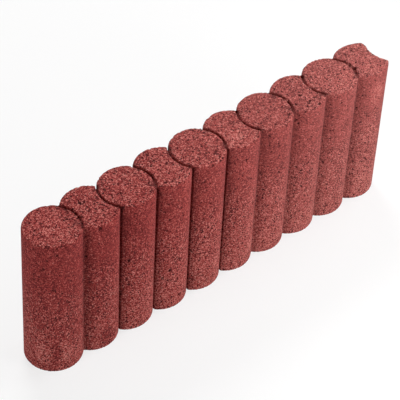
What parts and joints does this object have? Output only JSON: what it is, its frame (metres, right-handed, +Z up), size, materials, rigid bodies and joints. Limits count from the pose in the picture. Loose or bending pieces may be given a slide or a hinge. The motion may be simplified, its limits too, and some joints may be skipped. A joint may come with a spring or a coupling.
{
  "type": "garden edging stone",
  "caption": "Straight row of upright round columns cast as one concrete edging stone, with a round end and a hollow end that interlock.",
  "frame": {"origin": "centre of the footprint, on the face that the stone stands on", "axes": "+X along the row, from the round end to the hollow end; +Y through the stone's thickness; +Z up"},
  "size_m": [0.6062, 0.08, 0.23],
  "materials": {
    "red_concrete": "rough"
  },
  "bodies": {
    "root": {"edging_stone": "red_concrete"}
  },
  "joints": []
}
